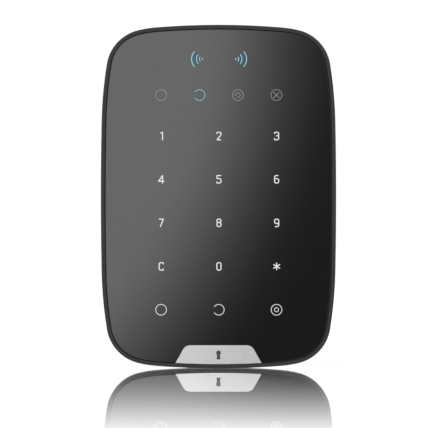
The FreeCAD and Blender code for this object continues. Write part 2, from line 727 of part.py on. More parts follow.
def tamper_plunger():
    tip = BRACKET_FRONT - 0.1
    stem = post(TAMPER_R, BOARD_BACK + 4.1, tip, TAMPER_X, TAMPER_Z)
    stem = stem.makeFillet(0.4, edges_at(stem, tip))
    flange = post(3.2, REAR_INNER - 2.3, REAR_INNER - 1.5, TAMPER_X, TAMPER_Z)
    return merge([stem, flange])


def tamper_spring():
    seat = BOARD_BACK + 3.5
    free = REAR_INNER - 2.3
    wire = 0.6
    spring = coil(2.3, wire, 4.0, free - seat - wire - 0.1)
    return place(spring, vec(TAMPER_X, seat + wire / 2 + 0.05, TAMPER_Z), vec(1, 0, 0), -90)


# ---- wall bracket and its lock screw ----
def bracket_hooks():
    hooks = []
    half = HOOK_WIDTH / 2
    for x in (-HOOK_X, HOOK_X):
        for z in HOOK_LEVELS:
            stem = block(x - half, x + half, HOOK_LIP_FRONT, BRACKET_FRONT + 0.5, z - HOOK_STEM, z)
            lip = block(x - half, x + half, HOOK_LIP_FRONT, HOOK_LIP_BACK, z - HOOK_STEM, z + HOOK_LIP)
            top = [e for e in lip.Edges
                   if e.BoundBox.ZMin > z + HOOK_LIP - 0.01 and e.BoundBox.YMin > HOOK_LIP_BACK - 0.01]
            hooks.append(merge([stem, lip.makeChamfer(0.7, top)]))
    return hooks


def tamper_ramp():
    """The wedge-shaped groove that lets the plunger out as the keypad slides up."""
    low = TAMPER_Z - RAMP_LEAD
    high = TAMPER_Z + RELEASE_TRAVEL + RAMP_LEAD
    depth = (high - low) * TAMPER_RATIO
    half = TAMPER_R + 0.8
    corners = [vec(-half, BRACKET_FRONT, low), vec(-half, BRACKET_FRONT + depth, high),
               vec(-half, BRACKET_FRONT - 1, high),
               vec(-half, BRACKET_FRONT - 1, low)]
    return Part.Face(Part.makePolygon(corners + corners[:1])).extrude(vec(2 * half, 0, 0))


def tab_perforations():
    """Rows of slots with thin bridges round the break-off tab."""
    slots = []
    count = 4
    step = (TAB_TOP - TAB_BOTTOM) / count
    for i in range(count):
        z0 = TAB_BOTTOM + i * step + 0.6
        for side in (-1, 1):
            x = side * TAB_HALF_WIDTH
            slots.append(block(x - 0.5, x + 0.5, -3, 1, z0, z0 + step - 1.2))
    for z in (TAB_BOTTOM, TAB_TOP):
        for i in range(3):
            x0 = -TAB_HALF_WIDTH + i * TAB_HALF_WIDTH * 2 / 3 + 0.6
            slots.append(block(x0, x0 + TAB_HALF_WIDTH * 2 / 3 - 1.2, -3, 1, z - 0.5, z + 0.5))
    return slots


def wall_bracket():
    plate = slab(BRACKET_INSET, BRACKET_FRONT, WALL)
    plate = plate.makeChamfer(0.4, edges_at(plate, BRACKET_FRONT))
    plate = plate.cut(soft_block(-WINDOW_HALF_WIDTH, WINDOW_HALF_WIDTH, -3, 1,
                                 WINDOW_BOTTOM, WINDOW_TOP, 4.0))
    neck = block(-TONGUE_HALF_WIDTH, TONGUE_HALF_WIDTH, BRACKET_FRONT, WALL, TONGUE_BOTTOM, WINDOW_BOTTOM - 3)
    tongue = block(-TONGUE_HALF_WIDTH, TONGUE_HALF_WIDTH, TONGUE_FRONT, WALL, TONGUE_BOTTOM, TONGUE_TOP)
    upright_edges = [e for e in tongue.Edges
                     if abs(e.tangentAt(e.FirstParameter).z) > 0.9 and e.BoundBox.YMax < TONGUE_FRONT + 0.01]
    tongue = tongue.makeFillet(1.0, upright_edges)
    bracket = merge([plate, neck, tongue] + bracket_hooks())
    cuts = [tamper_ramp()] + tab_perforations()
    cuts.append(post(WALL_HOLE_R, -3, 1, 0, TAB_HOLE_Z))
    for sx in (-1, 1):
        for sz in (-1, 1):
            x = sx * WALL_HOLE_X
            z = sz * WALL_HOLE_Z
            cuts.append(post(WALL_HOLE_R, -3, 1, x, z))
            cuts.append(Part.makeCone(WALL_SINK_R, WALL_HOLE_R, WALL_SINK_R - WALL_HOLE_R,
                                      vec(x, BRACKET_FRONT, z), vec(0, 1, 0)))
    cuts.append(upright(LOCK_WASHER_R + 0.15, TONGUE_BOTTOM - 1, LOCK_SEAT, 0, LOCK_Y))
    cuts.append(upright(LOCK_R + 0.15, TONGUE_BOTTOM - 1, TONGUE_TOP + 1, 0, LOCK_Y))
    return bracket.cut(cuts)


def lock_washer():
    ring = upright(LOCK_WASHER_R, LOCK_SEAT - 0.4, LOCK_SEAT, 0, LOCK_Y)
    return ring.cut(upright(LOCK_R + 0.05, LOCK_SEAT - 1, LOCK_SEAT + 1, 0, LOCK_Y))


def lock_screw():
    seat = LOCK_SEAT - 0.4
    head = upright(LOCK_HEAD_R, seat - 1.6, seat, 0, LOCK_Y)
    head = head.makeFillet(0.3, [e for e in head.Edges if e.BoundBox.ZMax < seat - 1.59])
    shank = upright(LOCK_R, seat - 0.2, NOTCH_TOP + 4.6, 0, LOCK_Y)
    screw = merge([head, shank])
    angles = [math.radians(60 * i) for i in range(6)]
    corners = [vec(1.3 * math.cos(a), LOCK_Y + 1.3 * math.sin(a), seat - 2) for a in angles]
    socket = Part.Face(Part.makePolygon(corners + corners[:1])).extrude(vec(0, 0, 1.4))
    return screw.cut(socket)


# ---- write every node ----
def nodes():
    yield "front_housing", front_housing()
    yield "touch_panel", touch_panel()
    yield "emblem_plate", emblem_plate()
    yield "panel_adhesive", panel_adhesive()
    yield "legend_film", legend_film()
    yield "main_board", main_board()
    yield "touch_pads", touch_pads()
    yield "key_lights", key_lights()
    yield "reader_board", reader_board()
    yield "reader_coil", reader_coil()
    yield "ferrite_sheet", ferrite_sheet()
    yield "reader_flex", reader_flex()
    yield "reader_flex_connectors", reader_flex_connectors()
    yield "radio_shield", radio_shield()
    yield "radio_antenna", radio_antenna()
    yield "chips", chips()
    yield "crystals", crystals()
    yield "small_capacitors", small_capacitors()
    yield "storage_capacitors", storage_capacitors()
    yield "buzzer", buzzer()
    yield "power_switch", tact_switch(BUTTON_X, BUTTON_Z)
    yield "tamper_switch", tact_switch(TAMPER_X, TAMPER_Z)
    yield "battery_tray", battery_tray()
    for index in range(4):
        yield "battery_cell_%d" % (index + 1), battery_cell(index)
    yield "contact_plates", contact_plates()
    yield "contact_springs", contact_springs()
    yield "battery_leads", battery_leads()
    yield "supply_socket", supply_socket()
    yield "rear_cover", rear_cover()
    yield "rating_label", rating_label()
    yield "lock_insert", lock_insert()
    yield "case_screws", case_screws()
    yield "battery_door", battery_door()
    yield "power_button", power_button()
    yield "tamper_plunger", tamper_plunger()
    yield "tamper_spring", tamper_spring()
    yield "wall_bracket", wall_bracket()
    yield "lock_washer", lock_washer()
    yield "lock_screw", lock_screw()


os.makedirs("parts", exist_ok=True)
for name, shape in nodes():
    shape.exportStep("parts/%s.step" % name)
    box = shape.BoundBox
    print("%-24s %d solids, valid %s, %.1f mm3, x %.2f..%.2f y %.2f..%.2f z %.2f..%.2f" % (
        name, len(shape.Solids), shape.isValid(), shape.Volume,
        box.XMin, box.XMax, box.YMin, box.YMax, box.ZMin, box.ZMax))
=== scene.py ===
# %% [markdown]
# # A wall keypad with a card reader
# This lesson dresses a finished mechanical model: a slim touch keypad that hangs on a
# wall bracket. The shapes of the case, the panel, the boards and the bracket come from
# the frame and stay as they are. Here they get their finishes, and the lit marks on the
# face, the sign on the power button and the studio are added.
# Lengths are in metres, apart from the pen strokes, whose points are in millimetres. X
# runs to the right seen from the front, Z up, and Y from the device towards the wall.

# %% Load the frame
import math

import bpy
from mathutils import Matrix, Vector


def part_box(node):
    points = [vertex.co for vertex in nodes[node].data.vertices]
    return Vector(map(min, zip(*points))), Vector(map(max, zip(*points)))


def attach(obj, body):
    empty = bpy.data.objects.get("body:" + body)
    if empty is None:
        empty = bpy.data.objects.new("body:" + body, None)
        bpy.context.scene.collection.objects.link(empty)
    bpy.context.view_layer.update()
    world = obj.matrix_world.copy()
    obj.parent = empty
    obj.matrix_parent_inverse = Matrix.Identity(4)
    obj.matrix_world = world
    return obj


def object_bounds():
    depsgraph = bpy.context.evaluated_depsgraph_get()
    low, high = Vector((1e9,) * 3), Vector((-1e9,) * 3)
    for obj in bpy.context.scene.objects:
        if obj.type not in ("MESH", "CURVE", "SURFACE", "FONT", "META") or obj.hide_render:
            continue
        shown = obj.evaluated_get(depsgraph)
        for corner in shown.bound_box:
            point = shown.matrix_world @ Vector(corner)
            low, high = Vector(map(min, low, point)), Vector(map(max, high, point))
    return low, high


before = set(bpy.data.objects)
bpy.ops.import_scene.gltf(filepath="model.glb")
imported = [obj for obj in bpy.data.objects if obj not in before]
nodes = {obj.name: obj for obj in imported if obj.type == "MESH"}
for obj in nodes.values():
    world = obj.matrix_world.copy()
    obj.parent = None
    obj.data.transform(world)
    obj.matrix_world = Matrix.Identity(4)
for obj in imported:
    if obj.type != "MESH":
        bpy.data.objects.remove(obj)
cad_low, cad_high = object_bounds()
MM = 0.001
print("frame:", len(nodes), "nodes, box", [round(v / MM, 1) for v in (*cad_low, *cad_high)], "mm")

# %% [markdown]
# ## The studio
# A product like this is shown square on, through a long lens, standing on a gloss white
# sheet. The camera looks level along Y from 1.5 m, which keeps the outline true and still
# lets the sheet mirror the face. A short lens close by would fill the frame as well, but
# it would show the sides of the case and bend the outline, so distance is the better
# choice.

# %% Camera
CAMERA_DISTANCE = 1.5
CAMERA_DROP = -8.35 * MM
VIEW_WIDTH = 209.7 * MM
face_y = cad_low.y
floor_z = cad_low.z

camera_data = bpy.data.cameras.new("camera")
camera_data.sensor_width = 36.0
camera_data.lens = camera_data.sensor_width * CAMERA_DISTANCE / VIEW_WIDTH
camera_data.clip_start = 0.01
camera_data.clip_end = 50.0
camera = bpy.data.objects.new("camera", camera_data)
bpy.context.scene.collection.objects.link(camera)
camera.location = (0.0, face_y - CAMERA_DISTANCE, CAMERA_DROP)
camera.rotation_euler = (math.radians(90), 0.0, 0.0)
bpy.context.scene.camera = camera
bpy.context.scene.view_settings.view_transform = "Standard"
print("camera: lens %.0f mm at %.2f m" % (camera_data.lens, CAMERA_DISTANCE))

# %% [markdown]
# ## Node helpers
# A material is a small network. These helpers add a node, join two sockets, and give the
# things that nearly every finish here needs: a noise, a ramp between two values, a mix of
# two colours and a bump. All patterns read Object coordinates, which on these pieces are
# plain metres, so a grain keeps its size on every part.

# %% Helpers for node networks
def new_material(name):
    material = bpy.data.materials.new(name)
    material.use_nodes = True
    tree = material.node_tree
    return material, tree, tree.nodes["Principled BSDF"]


def add(tree, kind, **values):
    node = tree.nodes.new(kind)
    for key, value in values.items():
        setattr(node, key, value)
    return node


def join(tree, source, target):
    tree.links.new(source, target)


def place_of(tree, scale=(1, 1, 1), turn=(0, 0, 0), shift=(0, 0, 0)):
    """Object coordinates, stretched, turned and moved for one pattern."""
    coordinates = add(tree, "ShaderNodeTexCoord")
    mapping = add(tree, "ShaderNodeMapping")
    mapping.inputs["Scale"].default_value = scale
    mapping.inputs["Rotation"].default_value = turn
    mapping.inputs["Location"].default_value = shift
    join(tree, coordinates.outputs["Object"], mapping.inputs["Vector"])
    return mapping.outputs["Vector"]


def noise(tree, where, grain, detail=2.0, roughness=0.5):
    """A noise whose spots are about one grain wide, with its value from 0 to 1."""
    node = add(tree, "ShaderNodeTexNoise")
    node.inputs["Scale"].default_value = 1.0 / grain
    node.inputs["Detail"].default_value = detail
    node.inputs["Roughness"].default_value = roughness
    join(tree, where, node.inputs["Vector"])
    return node.outputs["Fac"]


def between(tree, value, low, high, start=0.3, end=0.7):
    """Runs from low to high as value goes from start to end."""
    node = add(tree, "ShaderNodeMapRange")
    for key, number in (("From Min", start), ("From Max", end), ("To Min", low), ("To Max", high)):
        node.inputs[key].default_value = number
    join(tree, value, node.inputs["Value"])
    return node.outputs["Result"]


def tint(tree, factor, first, second):
    """Mixes two colours by factor. On a colour mix, sockets 6 and 7 are the two colours."""
    node = add(tree, "ShaderNodeMix", data_type="RGBA")
    node.inputs[6].default_value = (*first, 1.0)
    node.inputs[7].default_value = (*second, 1.0)
    join(tree, factor, node.inputs[0])
    return node.outputs[2]


def bump(tree, shader, height, depth):
    node = add(tree, "ShaderNodeBump")
    node.inputs["Distance"].default_value = depth
    node.inputs["Strength"].default_value = 1.0
    join(tree, height, node.inputs["Height"])
    join(tree, node.outputs["Normal"], shader.inputs["Normal"])


def math_node(tree, operation, first, second=None):
    node = add(tree, "ShaderNodeMath", operation=operation)
    for socket, value in zip(node.inputs, (first, second)):
        if value is None:
            continue
        if isinstance(value, (int, float)):
            socket.default_value = value
        else:
            join(tree, value, socket)
    return node.outputs["Value"]


def shade(colour, factor):
    """The same colour, lighter or darker by factor."""
    return tuple(min(1.0, c * factor) for c in colour)


def dress(node_name, material):
    """Gives a frame part its finish, in the slot that it already has."""
    mesh = nodes[node_name].data
    for index in range(len(mesh.materials)):
        mesh.materials[index] = material


print("helpers ready")

# %% [markdown]
# ## The floor and the light
# The sheet is white and its gloss is strongest where the device stands on it, and fades
# out towards the camera. A second sheet of glass over paper would need two objects, so
# one surface mixes a mirror with white paper, and the share of mirror falls with the
# distance from the device's foot. Only the sheet in front of the device is a mirror, in a
# strip as wide as the device and in a small patch round its foot; the rest is plain paper.

# %% Floor
REFLECTION_REACH = 35.4 * MM
REFLECTION_FADE = 1.7
REFLECTION_FULL = 0.975
PAPER_WHITE = 0.86
PAPER_GLOW = 0.15
BEHIND_FOOT = (-0.01, 0.06)
STRIP_EDGE = (0.068, 0.085)
PATCH_EDGE = (0.04, 0.09)
LEAST_LEFT = 0.05


def floor_material():
    material, tree, shader = new_material("floor_sheet")
    shader.inputs["Base Color"].default_value = (PAPER_WHITE, PAPER_WHITE, PAPER_WHITE, 1.0)
    shader.inputs["Roughness"].default_value = 0.6
    shader.inputs["Specular IOR Level"].default_value = 0.0
    shader.inputs["Emission Color"].default_value = (1.0, 1.0, 1.0, 1.0)
    shader.inputs["Emission Strength"].default_value = PAPER_GLOW
    where = add(tree, "ShaderNodeTexCoord").outputs["Object"]
    flat = add(tree, "ShaderNodeVectorMath", operation="LENGTH")
    join(tree, where, flat.inputs[0])
    away = math_node(tree, "SUBTRACT", flat.outputs["Value"], abs(face_y))
    away = math_node(tree, "MAXIMUM", away, 0.0)
    left = math_node(tree, "MAXIMUM", math_node(tree, "SUBTRACT", CAMERA_DISTANCE, away), LEAST_LEFT)
    # height is how high on the device the spot is that this point of the sheet mirrors:
    # away is the way to the device, and left is what is left of the way to the camera
    height = math_node(tree, "MULTIPLY", math_node(tree, "DIVIDE", away, left), CAMERA_DROP - floor_z)
    part = math_node(tree, "DIVIDE", height, REFLECTION_REACH)
    share = math_node(tree, "POWER", part, REFLECTION_FADE)
    share = math_node(tree, "MAXIMUM", math_node(tree, "SUBTRACT", REFLECTION_FULL, share), 0.0)
    axes = add(tree, "ShaderNodeSeparateXYZ")
    join(tree, where, axes.inputs["Vector"])
    in_front = between(tree, axes.outputs["Y"], 1.0, 0.0, *BEHIND_FOOT)
    side = math_node(tree, "ABSOLUTE", axes.outputs["X"])
    strip = between(tree, side, 1.0, 0.0, *STRIP_EDGE)
    near = between(tree, away, 1.0, 0.0, *PATCH_EDGE)
    share = math_node(tree, "MULTIPLY", share, in_front)
    share = math_node(tree, "MULTIPLY", share, math_node(tree, "MAXIMUM", strip, near))
    mirror = add(tree, "ShaderNodeBsdfGlossy")
    mirror.inputs["Color"].default_value = (1.0, 1.0, 1.0, 1.0)
    mirror.inputs["Roughness"].default_value = 0.0
    mix = add(tree, "ShaderNodeMixShader")
    join(tree, share, mix.inputs["Fac"])
    join(tree, shader.outputs["BSDF"], mix.inputs[1])
    join(tree, mirror.outputs["BSDF"], mix.inputs[2])
    join(tree, mix.outputs["Shader"], tree.nodes["Material Output"].inputs["Surface"])
    return material


bpy.ops.object.select_all(action="DESELECT")
bpy.ops.mesh.primitive_plane_add(size=12.0, location=(0, 0, floor_z))
floor = bpy.context.object
floor.name = "floor"
floor.data.materials.append(floor_material())
floor.visible_glossy = False
print("floor at", round(floor_z / MM, 2), "mm")

# %% [markdown]
# A bright room gives the even light. The face of the device is a black mirror, so what it
# shows is whatever stands opposite. A large card behind the camera, bright on the left
# and falling off in a wide soft arc to the lower right, gives the panel its sheen. An
# area light could do it, but its edge is hard, and the card's glow can follow any curve.
# Only mirrors see the card. Two soft lights give the case and the back their shape.

# %% Room light and the reflected card
ROOM_STRENGTH = 1.03
CARD_BEHIND = 0.3
CARD_SIZE = 0.7
GLOW_CENTRE = (-220.0 * MM, 98.9 * MM)
GLOW_INNER = 209.5 * MM
GLOW_WIDTH = 81.1 * MM
GLOW_BRIGHT = 3.26
GLOW_DIM = 0.16
EYE_GAMMA = 2.2
LAMP_SIZE = 0.6
# a pattern on the card is this much larger than its reflection on the panel
spread = 1.0 + (CAMERA_DISTANCE + CARD_BEHIND) / CAMERA_DISTANCE

world = bpy.data.worlds.new("room")
world.use_nodes = True
background = world.node_tree.nodes["Background"]
background.inputs["Color"].default_value = (1.0, 1.0, 1.0, 1.0)
background.inputs["Strength"].default_value = ROOM_STRENGTH
bpy.context.scene.world = world


def card_material():
    material = bpy.data.materials.new("light_card")
    material.use_nodes = True
    tree = material.node_tree
    tree.nodes.remove(tree.nodes["Principled BSDF"])
    where = place_of(tree, scale=(1 / spread,) * 3, shift=(-GLOW_CENTRE[0], 0.0, -GLOW_CENTRE[1]))
    reach = add(tree, "ShaderNodeVectorMath", operation="LENGTH")
    join(tree, where, reach.inputs[0])
    fall = add(tree, "ShaderNodeMapRange", interpolation_type="SMOOTHSTEP")
    for key, number in (("From Min", GLOW_INNER), ("From Max", GLOW_INNER + GLOW_WIDTH),
                        ("To Min", 1.0), ("To Max", (GLOW_DIM / GLOW_BRIGHT) ** (1 / EYE_GAMMA))):
        fall.inputs[key].default_value = number
    join(tree, reach.outputs["Value"], fall.inputs["Value"])
    strength = math_node(tree, "POWER", fall.outputs["Result"], EYE_GAMMA)
    strength = math_node(tree, "MULTIPLY", strength, GLOW_BRIGHT)
    glow = add(tree, "ShaderNodeEmission")
    join(tree, strength, glow.inputs["Strength"])
    join(tree, glow.outputs["Emission"], tree.nodes["Material Output"].inputs["Surface"])
    return material


bpy.ops.object.select_all(action="DESELECT")
bpy.ops.mesh.primitive_plane_add(size=CARD_SIZE, rotation=(math.radians(90), 0, 0))
card = bpy.context.object
card.name = "light_card"
bpy.ops.object.transform_apply(location=False, rotation=True, scale=False)
card.location = (0.0, face_y - CAMERA_DISTANCE - CARD_BEHIND, CAMERA_DROP)
card.data.materials.append(card_material())
card.visible_camera = False
card.visible_diffuse = False
card.visible_shadow = False


def soft_light(name, place, power):
    data = bpy.data.lights.new(name, "AREA")
    data.shape = "DISK"
    data.size = LAMP_SIZE
    data.energy = power
    lamp = bpy.data.objects.new(name, data)
    bpy.context.scene.collection.objects.link(lamp)
    lamp.location = place
    lamp.rotation_euler = (-lamp.location).to_track_quat("-Z", "Y").to_euler()


soft_light("key_light", (-0.9, -0.9, 0.9), 3.5)
soft_light("rear_light", (0.8, 1.0, 0.7), 3.0)
print("card spread %.2f, two soft lights" % spread)

# %% [markdown]
# ## Moulded plastic
# The case, the cover, the door and the bracket are dark grey plastic from a spark-eroded
# mould. Such a mould leaves a fine, even grain that breaks up the shine. Each finish has
# the grain as bump, a faint cloud in the colour, and long light rubs in the roughness,
# and the pieces that are handled also have fine light scratches. A painted image would
# blur close up, so the grain is computed.

# %% Moulded plastics
WORN_LIGHTER = 3.0


def moulded(name, colour, roughness=0.5, grain=0.22 * MM, depth=0.02 * MM, cloud=0.08, sheen=0.4, wear=0.0):
    material, tree, shader = new_material(name)
    where = place_of(tree)
    cloudy = noise(tree, where, 14 * MM, 3.0)
    clouded = tint(tree, between(tree, cloudy, 0, 1), shade(colour, 1 - cloud), shade(colour, 1 + cloud))
    # a noise stretched twenty times along a slanting line makes fine scratches
    scratches = noise(tree, place_of(tree, scale=(1, 1, 0.05), turn=(0.1, 0.9, 0)), 0.5 * MM, 3.0)
    scuffed = add(tree, "ShaderNodeMix", data_type="RGBA")
    join(tree, between(tree, scratches, 0.0, wear, 0.62, 0.74), scuffed.inputs[0])
    join(tree, clouded, scuffed.inputs[6])
    scuffed.inputs[7].default_value = (*shade(colour, WORN_LIGHTER), 1.0)
    join(tree, scuffed.outputs[2], shader.inputs["Base Color"])
    rubs = noise(tree, place_of(tree, scale=(1, 1, 0.08), turn=(0, 0.5, 0)), 1.4 * MM, 4.0)
    join(tree, between(tree, rubs, roughness - 0.06, roughness + 0.08), shader.inputs["Roughness"])
    pits = noise(tree, where, grain, 3.0, 0.65)
    bump(tree, shader, pits, depth)
    shader.inputs["Specular IOR Level"].default_value = sheen
    return material


CASE_GREY = (0.0205, 0.0205, 0.0215)
case_plastic = moulded("case_plastic", CASE_GREY, 0.58, sheen=0.33, cloud=0.12)
cover_plastic = moulded("cover_plastic", shade(CASE_GREY, 0.9), 0.5,
                        grain=0.3 * MM, depth=0.03 * MM, cloud=0.14, wear=0.08)
door_plastic = moulded("door_plastic", shade(CASE_GREY, 1.25), 0.46,
                       grain=0.26 * MM, cloud=0.12, wear=0.12)
bracket_plastic = moulded("bracket_plastic", (0.055, 0.055, 0.057), 0.55,
                          grain=0.35 * MM, depth=0.035 * MM, cloud=0.16, wear=0.12)
tray_plastic = moulded("tray_plastic", (0.018, 0.018, 0.019), 0.55)
button_plastic = moulded("button_plastic", (0.28, 0.28, 0.29), 0.4, grain=0.15 * MM)
plunger_plastic = moulded("plunger_plastic", (0.55, 0.54, 0.50), 0.35, grain=0.2 * MM)
washer_plastic = moulded("washer_nylon", (0.72, 0.71, 0.66), 0.38, grain=0.2 * MM)
socket_plastic = moulded("socket_plastic", (0.74, 0.71, 0.62), 0.42, grain=0.12 * MM)
chip_plastic = moulded("chip_epoxy", (0.018, 0.018, 0.019), 0.5, grain=0.08 * MM, depth=0.012 * MM)
switch_plastic = moulded("switch_plastic", (0.035, 0.035, 0.036), 0.38, grain=0.1 * MM)

for part, finish in (("front_housing", case_plastic), ("rear_cover", cover_plastic),
                     ("battery_door", door_plastic), ("wall_bracket", bracket_plastic),
                     ("battery_tray", tray_plastic), ("power_button", button_plastic),
                     ("tamper_plunger", plunger_plastic), ("lock_washer", washer_plastic),
                     ("supply_socket", socket_plastic), ("reader_flex_connectors", socket_plastic),
                     ("chips", chip_plastic), ("buzzer", chip_plastic),
                     ("power_switch", switch_plastic), ("tamper_switch", switch_plastic)):
    dress(part, finish)
print("moulded parts dressed")

# %% [markdown]
# ## The gloss panel
# The face is one black, mirror-smooth cover. A perfect mirror looks like a hole, so the
# real thing is copied more closely: the surface has a very slight haze from wiping, and a
# ripple of a few micrometres from moulding.

# %% Gloss panel
PANEL_BLACK = (0.0045, 0.0045, 0.0048)


def gloss_black(name, colour, glow=None, strength=0.0, sheen=0.5):
    material, tree, shader = new_material(name)
    where = place_of(tree)
    wipe = noise(tree, place_of(tree, scale=(1, 1, 0.3), turn=(0, 0.7, 0)), 9 * MM, 4.0)
    join(tree, between(tree, wipe, 0.025, 0.055), shader.inputs["Roughness"])
    dust = noise(tree, where, 0.5 * MM, 2.0)
    dusty = tint(tree, between(tree, dust, 0, 1, 0.45, 0.8), colour, shade(colour, 1.3))
    join(tree, dusty, shader.inputs["Base Color"])
    bump(tree, shader, noise(tree, where, 30 * MM, 1.0), 0.002 * MM)
    shader.inputs["IOR"].default_value = 1.5
    shader.inputs["Specular IOR Level"].default_value = sheen
    if glow:
        shader.inputs["Emission Color"].default_value = (*glow, 1.0)
        shader.inputs["Emission Strength"].default_value = strength
    return material


dress("touch_panel", gloss_black("panel_gloss", PANEL_BLACK))
print("panel dressed")

# %% [markdown]
# ## The emblem plate
# A satin silver plate is let into the foot of the panel, with a plain keyhole sunk into it
# and filled with dark paint. The paint is found by depth: near the middle, everything
# further in than the plate's face takes the dark colour, so no mask has to be painted.

# %% Emblem plate
PAINT_DEPTH = 0.14 * MM
KEYHOLE_REACH = 2.0 * MM
SILVER_METALLIC = 0.55


def emblem_silver():
    material, tree, shader = new_material("emblem_silver")
    where = place_of(tree)
    sparkle = noise(tree, where, 0.16 * MM, 2.0)
    silver = tint(tree, between(tree, sparkle, 0, 1), (0.475, 0.475, 0.48), (0.605, 0.605, 0.61))
    depth = add(tree, "ShaderNodeSeparateXYZ")
    join(tree, where, depth.inputs["Vector"])
    paint_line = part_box("emblem_plate")[0].y + PAINT_DEPTH
    inside = math_node(tree, "GREATER_THAN", depth.outputs["Y"], paint_line)
    across = math_node(tree, "LESS_THAN", math_node(tree, "ABSOLUTE", depth.outputs["X"]), KEYHOLE_REACH)
    painted = math_node(tree, "MULTIPLY", inside, across)
    colour = add(tree, "ShaderNodeMix", data_type="RGBA")
    join(tree, painted, colour.inputs[0])
    join(tree, silver, colour.inputs[6])
    colour.inputs[7].default_value = (0.035, 0.035, 0.037, 1.0)
    join(tree, colour.outputs[2], shader.inputs["Base Color"])
    join(tree, between(tree, sparkle, 0.20, 0.28), shader.inputs["Roughness"])
    bare = math_node(tree, "SUBTRACT", 1.0, painted)
    join(tree, math_node(tree, "MULTIPLY", bare, SILVER_METALLIC), shader.inputs["Metallic"])
    bump(tree, shader, sparkle, 0.006 * MM)
    return material


dress("emblem_plate", emblem_silver())
print("emblem dressed")

# %% [markdown]
# ## Metals
# Several metals are inside and behind: turned brass, zinc-plated screws, nickel contacts,
# tinplate and copper. They share one recipe. Drawn or turned metal has fine lines in one
# direction, so the noise is stretched along it; the colour tarnishes in soft patches.

# %% Metals
def metal(name, colour, roughness, lines=(1, 1, 0.1)):
    grain, tarnish = 0.12 * MM, 0.15
    material, tree, shader = new_material(name)
    patches = noise(tree, place_of(tree), 3 * MM, 3.0)
    tarnished = tint(tree, between(tree, patches, 0, 1), shade(colour, 1 - tarnish), colour)
    join(tree, tarnished, shader.inputs["Base Color"])
    drawn = noise(tree, place_of(tree, scale=lines), grain, 3.0)
    join(tree, between(tree, drawn, roughness - 0.07, roughness + 0.09), shader.inputs["Roughness"])
    bump(tree, shader, drawn, 0.004 * MM)
    shader.inputs["Metallic"].default_value = 1.0
    return material


copper = metal("plated_copper", (0.80, 0.45, 0.28), 0.35)
for part, finish in (("lock_insert", metal("turned_brass", (0.78, 0.58, 0.30), 0.28, lines=(1, 1, 6))),
                     ("case_screws", metal("zinc_plated", (0.62, 0.63, 0.65), 0.34, lines=(1, 5, 1))),
                     ("lock_screw", metal("lock_screw_zinc", (0.62, 0.63, 0.65), 0.30, lines=(1, 1, 6))),
                     ("contact_plates", metal("nickel_strip", (0.74, 0.70, 0.64), 0.24, lines=(0.1, 1, 1))),
                     ("contact_springs", metal("nickel_wire", (0.74, 0.71, 0.66), 0.22)),
                     ("tamper_spring", metal("spring_wire", (0.56, 0.56, 0.57), 0.3)),
                     ("radio_shield", metal("tinplate", (0.72, 0.72, 0.70), 0.32, lines=(0.1, 1, 1))),
                     ("radio_antenna", metal("antenna_strip", (0.72, 0.70, 0.66), 0.28)),
                     ("crystals", metal("crystal_can", (0.76, 0.76, 0.76), 0.25)),
                     ("storage_capacitors",
                      metal("capacitor_can", (0.80, 0.80, 0.81), 0.3, lines=(1, 1, 1))),
                     ("touch_pads", copper), ("reader_coil", copper)):
    dress(part, finish)
print("metals dressed")

# %% [markdown]
# ## Boards, films and small parts
# The boards are green under their solder mask, and the copper tracks below show as
# slightly raised lighter lines. A brick pattern with long bricks gives straight tracks at
# an even pitch, which is closer to a routed board than any noise.

# %% Boards and films
def circuit_board(name, pitch):
    material, tree, shader = new_material(name)
    tracks = add(tree, "ShaderNodeTexBrick", offset=0.37, squash=1.0)
    for key, number in (("Scale", 1.0 / pitch), ("Mortar Size", 0.08), ("Mortar Smooth", 0.3),
                        ("Brick Width", 5.0), ("Row Height", 0.5)):
        tracks.inputs[key].default_value = number
    tracks.inputs["Color1"].default_value = (0.008, 0.085, 0.035, 1)
    tracks.inputs["Color2"].default_value = (0.010, 0.105, 0.045, 1)
    tracks.inputs["Mortar"].default_value = (0.030, 0.190, 0.075, 1)
    join(tree, place_of(tree, turn=(math.radians(90), 0, 0)), tracks.inputs["Vector"])
    join(tree, tracks.outputs["Color"], shader.inputs["Base Color"])
    shader.inputs["Roughness"].default_value = 0.28
    bump(tree, shader, tracks.outputs["Fac"], 0.02 * MM)
    return material


def sheet_finish(name, colour, roughness, fibre, mottling=0.15, depth=0.01 * MM):
    """A printed film, paper, foam or ferrite sheet: mottled, with a fibre or cell size."""
    material, tree, shader = new_material(name)
    where = place_of(tree)
    spots = noise(tree, where, fibre, 4.0, 0.6)
    mottled = tint(tree, between(tree, spots, 0, 1), shade(colour, 1 - mottling), shade(colour, 1 + mottling))
    join(tree, mottled, shader.inputs["Base Color"])
    join(tree, between(tree, spots, roughness - 0.05, roughness + 0.05), shader.inputs["Roughness"])
    bump(tree, shader, spots, depth)
    return material


dress("main_board", circuit_board("main_board_mask", 2.2 * MM))
dress("reader_board", circuit_board("reader_board_mask", 1.6 * MM))
dress("legend_film", sheet_finish("legend_film", (0.012, 0.012, 0.013), 0.35, 0.6 * MM))
dress("panel_adhesive", sheet_finish("foam_tape", (0.02, 0.02, 0.02), 0.8, 0.3 * MM, 0.3, 0.05 * MM))
dress("ferrite_sheet", sheet_finish("ferrite_sheet", (0.045, 0.045, 0.05), 0.55, 0.2 * MM, 0.25))
dress("rating_label", sheet_finish("blank_label", (0.72, 0.72, 0.71), 0.5, 0.25 * MM, 0.04))
dress("reader_flex", sheet_finish("flexible_circuit", (0.50, 0.22, 0.03), 0.25, 1.0 * MM, 0.1))
dress("small_capacitors", sheet_finish("ceramic_body", (0.42, 0.30, 0.19), 0.4, 0.15 * MM))
dress("battery_leads", sheet_finish("lead_insulation", (0.30, 0.015, 0.012), 0.4, 0.3 * MM, 0.08))
